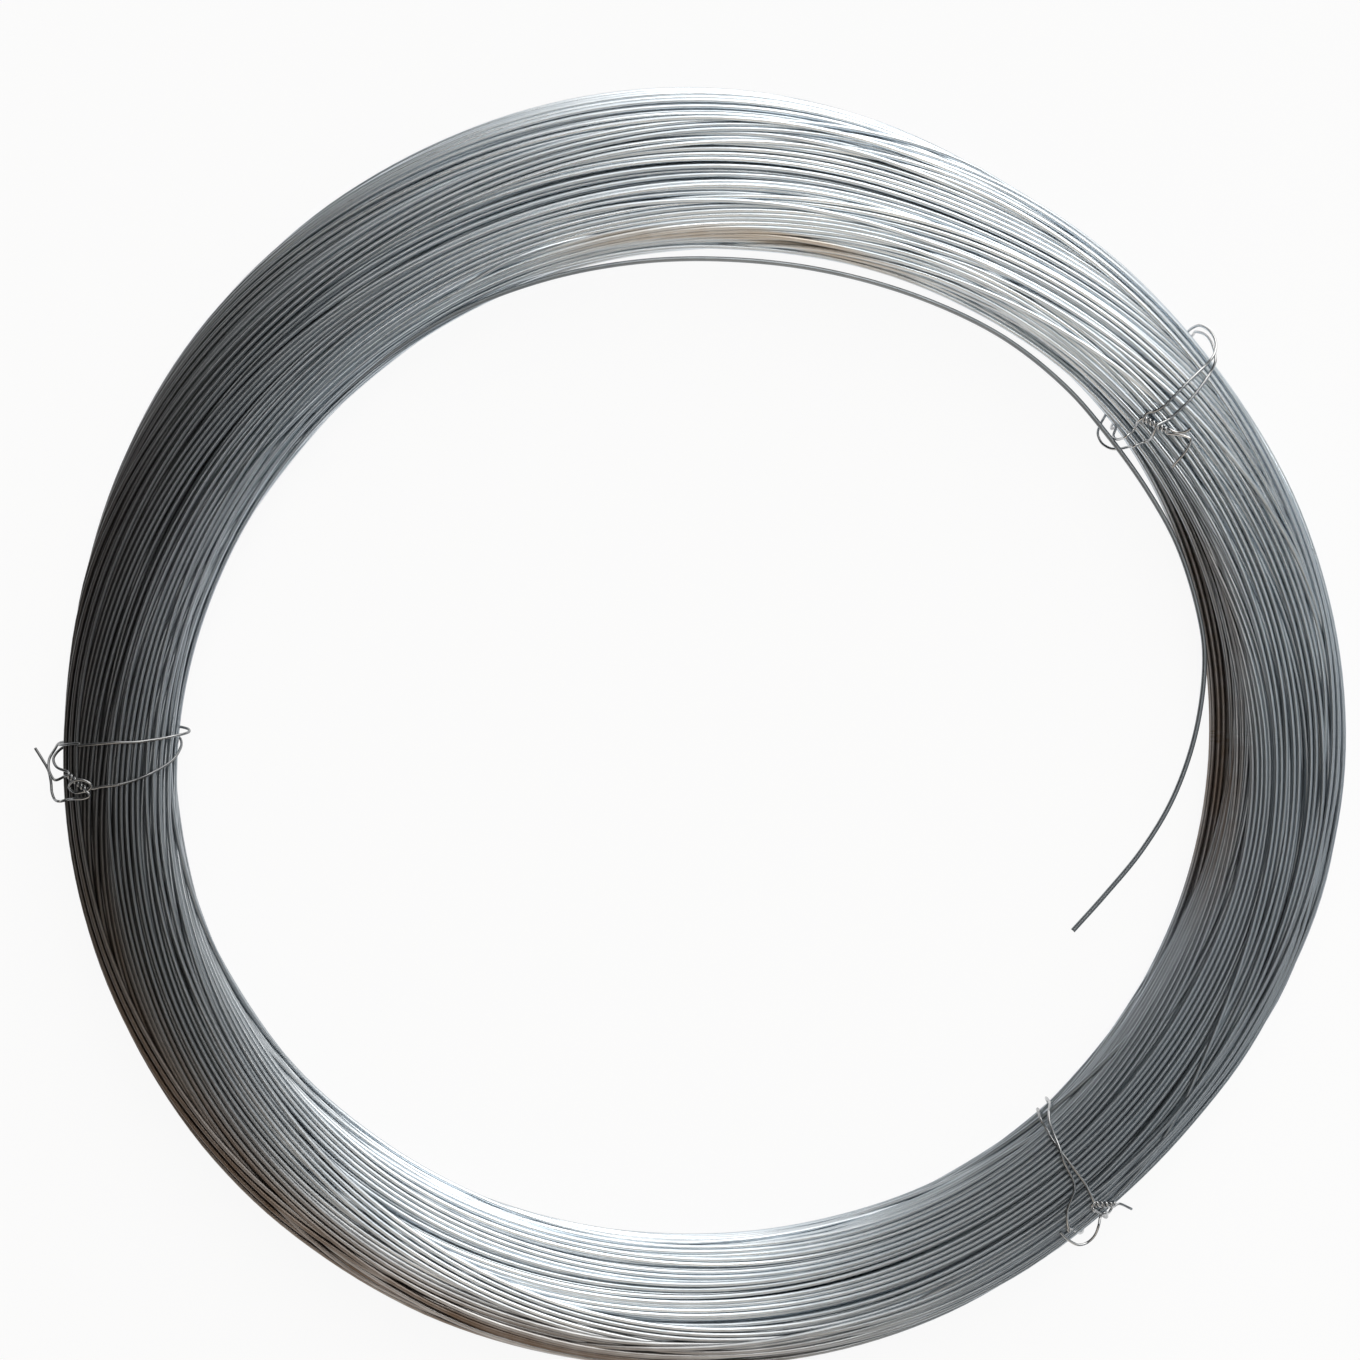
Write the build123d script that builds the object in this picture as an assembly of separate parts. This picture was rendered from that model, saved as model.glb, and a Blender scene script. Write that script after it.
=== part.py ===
from build123d import *
import math
import os

os.makedirs("parts", exist_ok=True)

# The coil lies flat on z = 0 with the middle of its rim on the Z axis. Lengths are in millimetres. Angles
# are in degrees, counted from +X towards +Y, as seen from above.

# The bundle of turns: the mean width of its eye, its mean section and the rounding of the section's
# corners. Where the bundle is wide it has slumped and is lower, and where it is narrow it stands higher.
BORE_D = 510.0
BUNDLE_W = 65.0
BUNDLE_H = 42.0
BUNDLE_CORNER_R = 19.0

# The eye is a little oval, and off the middle of the rim: how much longer than wide it is and at which
# angle, and how far off it lies and towards which angle.
EYE_OVAL = 40.0
EYE_OVAL_ANGLE = 19.0
EYE_SHIFT = 7.5
EYE_SHIFT_ANGLE = -59.0

# The wire, how far a turn stands out of the bundle, the side by side turns in one ridge, and the places
# round the coil where the bundle's section is set. The underside is drawn a little below the floor and
# cut off level with it, so that the coil rests on one true plane.
WIRE_D = 2.5
TURN_CREST = 1.0
TURNS_IN_RIDGE = 2
SECTIONS = 24
UNDERSIDE_CUT = 0.5

# The free end, along the bore: angle, and how far its middle stands in from the bore's wall. It leaves
# the wall at the back, passes over the inner loop of one tie and ends in the open eye.
FREE_END = [
    (141, -3.4),
    (129, -2.8),
    (118, -2.6),
    (107, -0.4),
    (96, 2.6),
    (84, 6.0),
    (73, 7.9),
    (62, 8.3),
    (51, 7.9),
    (36, 10.5),
    (21, 9.6),
    (8, 11.6),
    (-8, 25.7),
    (-28.1, 48.3),
]
FREE_END_Z = 27.0

# The ties: the thin wire, its clearance to what it goes round, the short straights that each of its
# corners is bent in, the spare room at each side of its seat, and the pitch of its twisted knot.
TIE_D = 1.4
SEAT_CLEARANCE = 0.3
SEAT_ROOM = 1.2
CORNER_BENDS = 4
TWIST_PITCH = 5.0
TWIST_STEPS = 6

# The sides that a round section is drawn with.
WIRE_SIDES = 8
TIE_SIDES = 6

BORE_R = BORE_D / 2
RIM_R = BORE_R + BUNDLE_W
CORNER_R = min(BUNDLE_CORNER_R, BUNDLE_H / 2)
TIE_OFF = SEAT_CLEARANCE + TIE_D / 2
TIE_STEP = SEAT_CLEARANCE + TIE_D
SEAT_DEPTH = 2 * TIE_STEP + SEAT_CLEARANCE


def place(reach, turn, height):
    """The place at that distance from the axis, angle in radians and height."""
    return Vector(reach * math.cos(turn), reach * math.sin(turn), height)


def bore_reach(angle):
    """How far the bore's wall is from the axis at that angle."""
    shift = EYE_SHIFT * math.cos(math.radians(angle - EYE_SHIFT_ANGLE))
    oval = EYE_OVAL / 4 * math.cos(2 * math.radians(angle - EYE_OVAL_ANGLE))
    return BORE_R + shift + oval


def bundle_width(angle):
    return RIM_R - bore_reach(angle)


def bundle_height(angle):
    return BUNDLE_H * math.sqrt(BUNDLE_W / bundle_width(angle))


def corner_radius(angle):
    """The rounding of the bundle's corners there, which a low bundle leaves room for."""
    return CORNER_R * bundle_height(angle) / BUNDLE_H


def swept(route, diameter, sides):
    """A bar of that thickness along a route."""
    section = Plane(origin=route @ 0, z_dir=route % 0) * RegularPolygon(diameter / 2, sides)
    return sweep(section, path=route, transition=Transition.RIGHT)


def easy_radii(points):
    """The largest radius that each corner of a route leaves room for."""
    radii = []
    for before, corner, after in zip(points, points[1:], points[2:]):
        came, goes = corner - before, after - corner
        half_turn = math.radians(came.get_angle(goes)) / 2
        radii.append(0.45 * min(came.length, goes.length) / math.tan(half_turn))
    return radii


def shoulders(width, height, bend):
    """The line over a section of the bundle through the feet of its ridges, from the bore to the rim."""
    inner, outer, top = TURN_CREST, width - TURN_CREST, height - TURN_CREST
    return FilletPolyline((inner, bend), (inner, top), (outer, top), (outer, bend), radius=bend)


def section_outline(width, height, bend):
    """A section of the bundle, in from the bore's wall and up: ridges for the turns down to where it
    rounds under, and a plain underside."""
    over = shoulders(width, height, bend)
    tight = shoulders(BUNDLE_W, BUNDLE_H, CORNER_R - TURN_CREST)
    ridges = round(tight.length / (WIRE_D * TURNS_IN_RIDGE))
    outline = []
    for ridge in range(ridges):
        middle = (ridge + 0.5) / ridges
        outwards = (over % middle).rotate(Axis.Z, 90)
        outline.append(over @ (ridge / ridges))
        outline.append(over @ middle + outwards * TURN_CREST)
    outline.append(over @ 1)
    foot, flank = TURN_CREST + bend, bend * math.sqrt(0.5)
    outline.append(Vector(width - foot + flank, bend - flank))
    outline.append(Vector(width - foot, -UNDERSIDE_CUT))
    outline.append(Vector(foot, -UNDERSIDE_CUT))
    outline.append(Vector(foot - flank, bend - flank))
    return outline


def bundle():
    """All the turns as one ring, whose section changes round the coil."""
    sections = []
    for number in range(SECTIONS):
        angle = 360 * number / SECTIONS
        bend = corner_radius(angle) - TURN_CREST
        outline = section_outline(bundle_width(angle), bundle_height(angle), bend)
        corners = [place(bore_reach(angle) + point.X, math.radians(angle), point.Y) for point in outline]
        sections.append(make_face(Polyline(*corners, close=True)))
    return split(loft([*sections, sections[0]]), bisect_by=Plane.XY, keep=Keep.TOP)


def free_end():
    points = [
        place(bore_reach(angle) - inset, math.radians(angle), FREE_END_Z) for angle, inset in FREE_END
    ]
    return swept(FilletPolyline(*points, radius=easy_radii(points)), WIRE_D, WIRE_SIDES)


def bent_corner(before, corner, after, radius):
    """The short straights that take a wire round a corner of that radius, as their bends."""
    came, goes = (corner - before).normalized(), (after - corner).normalized()
    turn = math.radians(came.get_angle(goes))
    inwards = (goes - came * math.cos(turn)) / math.sin(turn)
    middle = corner - came * radius * math.tan(turn / 2) + inwards * radius
    reach = radius / math.cos(turn / CORNER_BENDS / 2)
    bends = []
    for bend in range(CORNER_BENDS):
        swung = turn * (bend + 0.5) / CORNER_BENDS
        bends.append(middle + (came * math.sin(swung) - inwards * math.cos(swung)) * reach)
    return bends


class Tie:
    """A tie wire: twice round the bundle, its two ends twisted together on top and cut off.

    angle is where it goes round the coil. Its other places are sideways from there, towards larger
    angles: the two wraps on the bore side and on the outer side. knot_in is how far the knot lies in
    from the outer side. Each tail is a list of points: past the outer side, sideways, above the top."""

    def __init__(self, angle, first, second, knot_in, twist_turns, tails):
        self.angle = angle
        self.first = first
        self.second = second
        self.knot_in = knot_in
        self.twist_turns = twist_turns
        self.tails = tails
        self.width = bundle_width(angle)
        self.height = bundle_height(angle)
        self.bend = corner_radius(angle)

    def place(self, reach, sideways, height):
        return place(reach, math.radians(self.angle) + sideways / reach, height)

    def seat(self):
        """The notch in the bundle's underside that the tie runs in, clear of it and of the floor."""
        block = Rectangle(self.width + 2 * TIE_D, 2 * SEAT_DEPTH + self.bend)
        held = RectangleRounded(self.width - 2 * SEAT_ROOM, 2 * self.height, self.bend)
        sides = self.first + self.second
        width = max(sides) - min(sides) + 2 * (TIE_D + SEAT_CLEARANCE)
        section = block - Pos(0, SEAT_DEPTH + self.height) * held
        notch = extrude(Plane.XZ * section, width / 2, both=True)
        middle = (max(sides) + min(sides)) / 2
        return Rot(0, 0, self.angle) * Pos(RIM_R - self.width / 2, middle, 0) * notch

    def near(self, sideways):
        """How far from the axis a wrap runs down the bore's wall."""
        return bore_reach(self.angle + math.degrees(sideways / BORE_R)) - TIE_OFF

    def wraps(self):
        far, top = RIM_R + TIE_OFF, self.height + TIE_OFF
        low, high = TIE_OFF, TIE_OFF + TIE_STEP
        corners = [
            self.place(RIM_R - self.knot_in - TIE_STEP, self.knot_side(), top),
            self.place(self.near(self.first[0]), self.first[0], top),
            self.place(self.near(self.first[0]), self.first[0], low),
            self.place(far, self.second[1], low),
            self.place(far, self.second[1], top),
            self.place(self.near(self.second[0]), self.second[0], top),
            self.place(self.near(self.second[0]), self.second[0], high),
            self.place(far, self.first[1], high),
            self.place(far, self.first[1], top),
            self.place(RIM_R - self.knot_in + TIE_STEP, self.knot_side(), top),
        ]
        route = [corners[0]]
        for before, corner, after in zip(corners, corners[1:], corners[2:]):
            route += bent_corner(before, corner, after, self.bend + TIE_OFF)
        return route + [corners[-1]]

    def knot_side(self):
        """How far sideways the first wrap is where its knot sits."""
        return self.first[1] + (self.first[0] - self.first[1]) * self.knot_in / self.width

    def strand(self, start_phase):
        """One strand of the twisted knot, from its wrap outwards."""
        lift = self.height + TIE_OFF + TIE_STEP / 2
        points = []
        for step in range(round(self.twist_turns * TWIST_STEPS) + 1):
            phase = math.radians(start_phase + 360 * step / TWIST_STEPS)
            points.append(
                self.place(
                    RIM_R - self.knot_in + TIE_STEP / 2 * math.cos(phase),
                    self.knot_side() + TIE_STEP + step * TWIST_PITCH / TWIST_STEPS,
                    lift + TIE_STEP / 2 * math.sin(phase),
                )
            )
        return points

    def tail(self, points):
        return [self.place(RIM_R + past, sideways, self.height + up) for past, sideways, up in points]

    def solid(self):
        start = self.strand(180) + self.tail(self.tails[0])
        end = self.strand(0) + self.tail(self.tails[1])
        return swept(Polyline(*start[::-1], *self.wraps(), *end), TIE_D, TIE_SIDES)


TIES = {
    "tie_wire_left": Tie(
        183.8, (-5.0, 7.0), (-14.0, -12.0), 22.0, 2,
        [
            [(-23.0, 23.0, 2.5)],
            [(-12.0, 24.0, 1.0), (0.0, 19.0, -3.0), (8.0, 4.0, -5.0), (10.0, -13.0, -3.0)],
        ],
    ),
    "tie_wire_upper_right": Tie(
        35.4, (-8.0, -3.0), (-4.0, 2.0), 34.0, 2,
        [[(-52.0, 14.0, 3.0)], [(-42.0, 14.0, 2.5), (-36.0, 16.0, 2.0)]],
    ),
    "tie_wire_lower_right": Tie(
        309.2, (9.0, 5.0), (6.0, 1.0), 22.0, 2,
        [[(-23.0, 24.0, 3.0)], [(-12.0, 23.0, 2.5), (-4.0, 22.0, 1.0)]],
    ),
}

coil = bundle() + free_end()
for tie in TIES.values():
    coil -= tie.seat()
export_step(coil, "parts/wire_coil.step")
for name, tie in TIES.items():
    export_step(tie.solid(), f"parts/{name}.step")
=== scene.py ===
"""A coil of galvanised wire that lies flat on a pale floor, held by three tie wires.

The coil's axis is the Z axis. The tables are in millimetres and degrees, counted from +X towards +Y as seen
from above, and the objects are in metres."""
import math

import bpy
import numpy as np
from bpy.props import FloatProperty, FloatVectorProperty, IntProperty, PointerProperty
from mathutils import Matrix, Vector


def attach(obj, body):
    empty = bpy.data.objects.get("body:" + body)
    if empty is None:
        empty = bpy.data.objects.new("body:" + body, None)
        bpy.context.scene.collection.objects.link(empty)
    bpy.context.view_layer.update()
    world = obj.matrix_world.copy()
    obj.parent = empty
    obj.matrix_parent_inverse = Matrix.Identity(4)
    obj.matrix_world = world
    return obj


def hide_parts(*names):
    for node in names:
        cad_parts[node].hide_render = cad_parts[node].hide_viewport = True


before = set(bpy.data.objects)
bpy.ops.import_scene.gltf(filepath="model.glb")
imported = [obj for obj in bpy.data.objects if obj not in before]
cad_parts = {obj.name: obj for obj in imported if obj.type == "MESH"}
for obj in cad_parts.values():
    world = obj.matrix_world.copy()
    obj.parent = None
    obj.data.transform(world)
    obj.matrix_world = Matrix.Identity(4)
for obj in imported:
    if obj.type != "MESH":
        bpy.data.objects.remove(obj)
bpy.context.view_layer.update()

bl_info = {
    "name": "Coil of tied wire",
    "version": (1, 0, 0),
    "blender": (4, 5, 0),
    "location": "3D View > Sidebar > Wire Coil",
    "description": "Lays a coil of wire turn by turn, ties it and lights it",
    "category": "Object",
}

MM = 0.001
ROOT = "root"
COIL_NODE = "wire_coil"

# The places round the coil at which every turn is laid.
STATIONS = 216
ANGLES = np.arange(STATIONS) * 2 * math.pi / STATIONS

# The bundle's edges as seen from above: angle, distance from the coil's axis.
OUTER_EDGE = [
    (0, 324), (19, 320.5), (35, 317.5), (52, 314), (62, 312.7), (75, 319.5), (88, 322.5), (100, 323),
    (119, 321.5), (139, 321), (151, 319), (164, 315.5), (170, 314.4), (182, 317.5), (195, 320), (214, 321.5),
    (226, 322.5), (239, 322), (259, 319), (277, 317), (296, 316), (309, 315), (323, 315), (334, 319),
    (346, 323),
]
INNER_EDGE = [
    (0, 268), (9, 269), (19, 268), (25, 267), (32, 266), (35, 264.5), (44, 260), (56, 254), (69, 247),
    (81, 243.5), (94, 241.8), (106, 241), (120, 239.5), (139, 240), (157, 249), (176, 259), (195, 264),
    (207, 265.6), (220, 265), (232, 262), (240, 259.5), (252, 255), (265, 252.5), (277, 252.8), (296, 256),
    (309, 258), (321, 256.5), (334, 257), (346, 263),
]
EDGE_SOFTNESS = 2.5

# How far the turns of the outer layer have rolled round the bundle, inwards over the top, at each angle.
ROLL = [
    (0, 7), (20, 19), (40, 32), (62, 45), (80, 52), (100, 56), (120, 54), (140, 47), (160, 36), (180, 24),
    (200, 13), (220, 5), (240, 0), (290, -3), (325, -2), (342, 1),
]
ROLL_SOFTNESS = 8.0

# The layers of turns from the outside in: turns, share of the roll that they take, depth.
LAYERS = {
    "outer_layer": (62, 1.0, 0.0),
    "second_layer": (58, 0.72, 2.2),
    "third_layer": (50, 0.5, 4.6),
    "fourth_layer": (42, 0.35, 6.9),
}
BURIED = ("third_layer", "fourth_layer")

# The outline of the bundle's section: how square it is, its points, the share of the way round that its
# direction is read over, and its length as a multiple of its half width and half height together.
SECTION_SQUARENESS = 2.7
OUTLINE_POINTS = 240
DIRECTION_SHARE = 0.004
OUTLINE_FACTOR = 2.75

# How the turns of a layer stray sideways and in depth: in how many clumps round the section and how far,
# how deep they lie on average, and in which waves round the coil.
ASIDE_CLUMPS = (4, 7, 9, 12)
ASIDE_STRENGTH = 1.1
SUNK_CLUMPS = (3, 6, 10, 17, 23, 27)
SUNK_STRENGTH = 0.4
SUNK_MEAN = 0.5
STRAY_WAVES = range(-3, 4)

# Hanks of turns that cross over the layers: turns, height above the layers in wires, angle where the last
# turn crosses back, and the hank's path (angle, distance from the axis).
HANKS = {
    "diagonal_hank": (6, 0.0, 285, [
        (0, 313), (20, 304), (40, 292), (60, 275), (75, 264), (100, 252), (130, 253), (160, 268), (181, 283),
        (201, 295), (220, 304), (240, 309), (270, 311), (300, 311), (330, 313), (350, 315),
    ]),
    "edge_hank": (5, 0.0, 255, [
        (0, 318), (35, 312), (62, 307), (80, 301), (100, 294), (120, 290), (140, 295), (157, 302), (170, 309),
        (185, 314), (200, 316), (240, 316), (277, 312), (320, 309), (346, 317),
    ]),
    "wedge_hank": (5, 0.0, 325, [
        (0, 296), (20, 284), (40, 273), (60, 262), (80, 252), (100, 246), (130, 247), (160, 256), (181, 266),
        (205, 279), (240, 291), (274, 304), (300, 305), (330, 301), (350, 298),
    ]),
    "inward_hank": (4, -0.4, 120, [
        (0, 275), (20, 272), (40, 268), (60, 258), (80, 249), (100, 246), (130, 249), (160, 260), (180, 270),
        (200, 275), (220, 270), (240, 265), (270, 261), (300, 262), (330, 269), (345, 273),
    ]),
}

# A hank's pitch in wires, how wide its crossing back is in degrees and how high in wires, and how far and
# in which waves round the coil it drifts off its path.
HANK_PITCH = 1.14
CROSSING_WIDTH = 14
CROSSING_LIFT = 0.9
DRIFT = 0.6
DRIFT_WAVES = (1, 2, 2, 3)

# The turns at the foot of the bore side, which part from the bundle on the right: turns, turns on one row,
# the height of their middle, angle of the crossing back, and their path. Their pitch is in wires, and each
# turn steps over to its next place in the last of that many parts of its way round.
FOOT_PITCH = 1.12
FOOT_PARTS = 12
FOOT_HANK = (12, 4, 15.0, 200, [
    (0, 262.5), (9, 263), (20, 263), (32, 267), (44, 266), (56, 261), (69, 255), (81, 251), (94, 249),
    (120, 248), (139, 249), (157, 258), (176, 267), (195, 272), (220, 273), (240, 267), (265, 261),
    (296, 264), (321, 265), (334, 263), (346, 262),
])

# One slack turn, which stands off the bore side from the upper right to the top: its path and height.
SLACK_TURN = [
    (0, 268), (20, 268), (35, 263), (42, 259), (56, 252.8), (69, 246.6), (81, 243), (94, 241.4), (106, 241.2),
    (125, 243), (150, 254), (176, 270), (220, 276), (265, 262), (300, 266), (340, 270),
]
SLACK_HEIGHT = 24.0

# The free end: angle, distance from the axis. It leaves the bundle on the left and ends in the bore. Then
# its height, the step along its line, how many more sides it has than a turn, how much of the zinc's
# brightness it keeps, darkened as painted shade, and its tint and roughness.
FREE_END = [
    (184, 272), (174, 264), (166, 258.5), (158, 255), (150.5, 250), (141, 246.5), (130, 242.5), (120, 240.3),
    (108, 237.2), (96, 235.4), (84, 235.6), (73, 238.4), (62, 243.2), (52, 248.5), (43, 251.3), (36, 252.2),
    (28, 254.5), (21, 256.8), (13, 257), (8, 255.7), (0, 249), (-8, 240), (-15, 230), (-22, 219.5),
    (-28.1, 212.5),
]
FREE_END_HEIGHT = 27.0
FREE_END_STEP = 4.0
FREE_END_MORE_SIDES = 4
FREE_END_SHADED_BRIGHTNESS = 0.42
FREE_END_TINT = 0.4
FREE_END_ROUGHNESS = 0.4

# The ties' places round the coil, the painted light and shade of each, as how bright its metal is drawn, and
# how far the bundle is drawn in and lifted there.
TIE_ANGLES = {"tie_wire_left": 183.8, "tie_wire_upper_right": 35.4, "tie_wire_lower_right": 309.2}
TIE_PAINTED_LIGHT_AND_SHADE = {"tie_wire_left": 0.1, "tie_wire_upper_right": 1.0, "tie_wire_lower_right": 0.6}
TIE_PINCH = 1.6
TIE_PINCH_WIDTH = 9.0
TIE_LIFT = 3.0
TIE_LIFT_WIDTH = 5.0

# The ties' routes. A span over the bundle lists reach, sideways and lift off the turns, a free span lists
# reach, sideways and height, and a span round the bundle goes from one direction to another (0 outwards,
# 90 up, 180 into the bore, 270 down), from one side to another, that much off the turns. A twist is one
# strand of a knot: where it starts and ends on top, its turns and the angle that it starts at.
TIE_ROUTES = {
    "tie_wire_left": [
        ("free", [(316.2, -12.8, 22), (319.2, -10.2, 27), (320.8, -6.9, 31), (318.4, -2.6, 36)]),
        ("twist", (313.2, 0.8), (303.6, 9.6), 3, 0),
        ("over", [
            (300.6, 9.0, 0.3), (296.5, 8.3, 0), (288.7, 7.9, 0), (279, 6, 0), (272.3, 3.7, 0),
            (266.2, 0.9, 0.4),
        ]),
        ("free", [(260.9, -2.5, 37), (257.2, -8.8, 29), (258.4, -13, 20)]),
        ("round", (212, 405), (-14.5, -13.6), 0.0),
        ("over", [
            (306.5, -13, 0), (300.1, -12.9, 0), (287.3, -13.1, 0), (277.8, -12.7, 0), (268.2, -13.3, 0.3),
        ]),
        ("free", [(259.6, -14.3, 40), (252.6, -15.7, 34), (252.9, -17.2, 28), (257.6, -18.6, 20)]),
        ("round", (214, 352), (-18.5, -14.5), 1.7),
        ("free", [(320.2, -11.8, 27), (322.6, -6.8, 33), (322.4, -1.2, 37), (319.4, 3.4, 40.5)]),
        ("over", [(315.6, 2.2, 1.4)]),
        ("twist", (313.2, 0.8), (303.6, 9.6), 3, 180),
        ("over", [
            (300.8, 7.4, 2.0), (304.2, 4.6, 2.8), (309.4, 4.4, 2.6), (312.6, 7.4, 1.8), (309.2, 10.4, 1.4),
            (303.6, 10.2, 1.6), (302.2, 12.2, 1.2), (305.8, 13.6, 1.0), (310.4, 13.4, 1.2),
            (314.4, 13.6, 1.0),
        ]),
        ("free", [
            (317.8, 14.2, 39.5), (320.6, 13.2, 36.5), (322.2, 9.5, 34), (322.6, 4.5, 32), (323.6, -1.4, 31),
            (326.6, -7.2, 29.5), (329.9, -12.9, 28),
        ]),
    ],
    "tie_wire_upper_right": [
        ("over", [
            (267.8, -30.0, 0.3), (271.6, -28.9, 0.8), (275.9, -27.9, 1.2), (279.8, -26.2, 1.4),
            (282.4, -23.9, 1.6), (280.4, -20.4, 1.6), (277.1, -17.0, 1.4),
        ]),
        ("twist", (275.6, -14.1), (269.9, -2.6), 3, 0),
        ("over", [
            (272.4, -0.9, 0.9), (275.6, -2.2, 0.3), (280.3, -3.0, 0), (294.8, -0.5, 0), (304.3, 0.8, 0),
            (309.5, 1.4, 0),
        ]),
        ("free", [
            (314.8, 2.6, 41.5), (318.8, 4.6, 38.5), (322.2, 8.8, 35), (323.2, 14.5, 30.5),
            (321.6, 19.2, 25.5), (318.6, 20.4, 20),
        ]),
        ("round", (340, 206), (20.0, 12.0), 0.0),
        ("free", [
            (259.6, 10.6, 12), (253.6, 7.6, 14.5), (249.6, 4.6, 17.5), (248.3, -0.3, 20), (250.2, -5.2, 22.5),
            (253.6, -7.8, 24.6), (256.8, -9.4, 30), (258.6, -10.6, 37),
        ]),
        ("over", [
            (264.4, -12.0, 1.0), (267.4, -12.2, 2.2), (270.2, -10.4, 3.3), (272.6, -8.8, 3.5),
            (275.4, -9.0, 2.0), (280, -9.6, 0), (293.9, -7.7, 0), (305.2, -4.6, 0), (310.5, -2.6, 0),
        ]),
        ("free", [
            (315.2, 0.2, 41), (318.2, 4.4, 37.5), (320.4, 9.6, 33), (320.5, 14.6, 28), (318.6, 17.8, 22),
        ]),
        ("round", (344, 190), (17.5, 2.5), 1.7),
        ("free", [(258.4, 2.0, 21), (254.8, -0.5, 24), (254.4, -3.0, 30), (258.2, -4.4, 38)]),
        ("over", [(263.9, -3.8, 1.4), (267.2, -1.6, 1.4)]),
        ("twist", (269.9, -2.6), (275.6, -14.1), 3, 0),
        ("over", [(279.2, -17.6, 1.2), (282.6, -19.4, 1.6), (285.5, -19.5, 2.6)]),
    ],
    "tie_wire_lower_right": [
        ("free", [(320.3, 16.9, 38)]),
        ("over", [(316.6, 14.0, 2.0)]),
        ("twist", (313.4, 11.6), (306.8, 4.8), 2, 0),
        ("over", [
            (303.6, 5.2, 0.4), (294.6, 7.1, 0), (283.2, 7.6, 0), (272.4, 8.1, 0), (266.4, 8.6, 0),
            (262.4, 9.6, 0.3),
        ]),
        ("free", [(257.6, 10.0, 40), (254.6, 11.4, 34), (255.4, 12.2, 25)]),
        ("round", (196, 400), (12.0, -13.6), 0.0),
        ("over", [
            (309.6, -14.2, 0.2), (304.4, -11.6, 0), (300.2, -8.2, 0), (297.2, -3.6, 0.3), (294.8, 0.6, 0.4),
            (290.6, 3.4, 0), (284.4, 4.9, 0.2), (278.8, 6.2, 1.0), (273.6, 8.4, 1.6), (267.6, 10.4, 1.0),
        ]),
        ("free", [(260.4, 13.0, 40), (257.0, 15.8, 37), (255.4, 18.2, 32), (255.2, 19.0, 26)]),
        ("round", (196, 402), (19.0, 2.2), 1.7),
        ("over", [(309.8, 1.8, 0.8), (305.6, 3.2, 1.2)]),
        ("twist", (306.8, 4.8), (313.4, 11.6), 2, 0),
        ("over", [(315.4, 10.6, 1.6), (316.6, 7.6, 1.2), (314.8, 5.4, 1.8), (313.4, 3.0, 1.4)]),
        ("free", [
            (315.8, -0.4, 40), (318.9, -5.2, 38), (319.6, -10.6, 37), (317.4, -14.9, 38),
        ]),
        ("over", [(311.5, -17.2, 0.9), (306.3, -17.6, 0.4)]),
    ],
}

# How finely the ties are laid: the sides that a wire under them is taken with, the parts that each side of
# their bed is cut into, the points of a pass round the bundle, the step along a finished line, the shortest
# that a span of it counts as, the steps in a turn of a knot, and how far a strand is from its middle.
BED_WIRE_SIDES = 16
BED_SIDE_PARTS = 12
PASS_POINTS = 9
ROUTE_STEP = 1.2
SHORTEST_SPAN = 0.05
TWIST_STEPS = 8
TWIST_RADIUS = 1.15

# How the turns settle: how often touching turns are looked for and how near, the share of an overlap that
# is undone in a round, the least that two turns count as apart, in wires, the pull back to the target, how
# stiff the wire is, in degrees, and how far a turn may stand out past the rim.
PAIR_ROUNDS = 5
PAIR_MARGIN = 1.2
PUSH = 0.42
LEAST_DISTANCE = 0.02
PULL_BACK = 0.05
WIRE_STIFFNESS = 2.4
RIM_SLACK = 0.6

WIRE_TREE = "Wire along routes"
TURNS_IN_PIECE = 50

# No turn rises above this.
CEILING = 46.4

# The stage: what the picture is centred on, the side lamp's place, size and tone, the side on which the
# room is lighter and where that begins and is whole, as cosines, the room's two tones, and the floor.
FRAME_MIDDLE = (-0.0085, 0.025)
SIDE_LAMP_PLACE = (0.85, -0.15, 0.6)
SIDE_LAMP_SIZE = (0.9, 0.9)
SIDE_LAMP_TONE = (0.93, 0.98, 1.0)
ROOM_LIGHT_SIDE = (0.9, -0.35, 0.25)
ROOM_LIGHT_BEGIN = -0.6
ROOM_LIGHT_WHOLE = 0.8
ROOM_DARK = (0.011, 0.0135, 0.016, 1)
ROOM_LIGHT = (0.070, 0.082, 0.092, 1)
FLOOR_SPAN = 60.0
FLOOR_TONE = (0.9, 0.9, 0.9, 1)
FLOOR_ROUGHNESS = 0.9

# The two tall soft lights that face each other across the coil: the way to the brighter one, how far off
# that way a light is whole and where it ends, as cosines, and the tone of each. The brighter one has a
# core that is brighter still.
SOFT_LIGHT_AZIMUTH = 73.0
SOFT_LIGHT_WHOLE = 0.975
SOFT_LIGHT_END = 0.74
CORE_AZIMUTH = 71.0
CORE_WHOLE = 0.995
CORE_END = 0.92
CORE_GAIN = 1.95
BACK_LIGHT_TONE = (1.0, 0.975, 0.94)
FRONT_LIGHT_TONE = (0.53, 0.472, 0.41)

# The bloom of the zinc: its streaks in each metre of wire, how far apart the streaks of two turns are
# drawn, the shares of cloud, streak and the wire's own tint in it, which on the ties is painted light and
# shade, and where it is none and whole.
STREAKS_PER_METRE = 9.0
STREAK_SHIFT = 91.0
CLOUD_SHARE = 0.45
STREAK_SHARE = 0.55
TINT_SHARE = 0.25
BLOOM_NONE = 0.36
BLOOM_WHOLE = 0.88

# The drawing lines, where they are faint and dark, how far they darken the metal and to what share of its
# dull tone. Then what lines, patches of painted shade and tone and dull zinc add to the roughness, and what
# the bloom takes off it.
LINE_FAINT = 0.62
LINE_DARK = 0.36
LINE_SHARE = 0.28
LINE_TONE = 0.6
LINE_ROUGHNESS = 0.12
PATCH_ROUGHNESS = 0.12
DULL_ROUGHNESS = 0.08
BLOOM_GLOSS = 0.10

# The cosine off its direction at which a patch of painted shade or tone on one side of the coil is whole.
PATCH_WHOLE = 0.99


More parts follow.
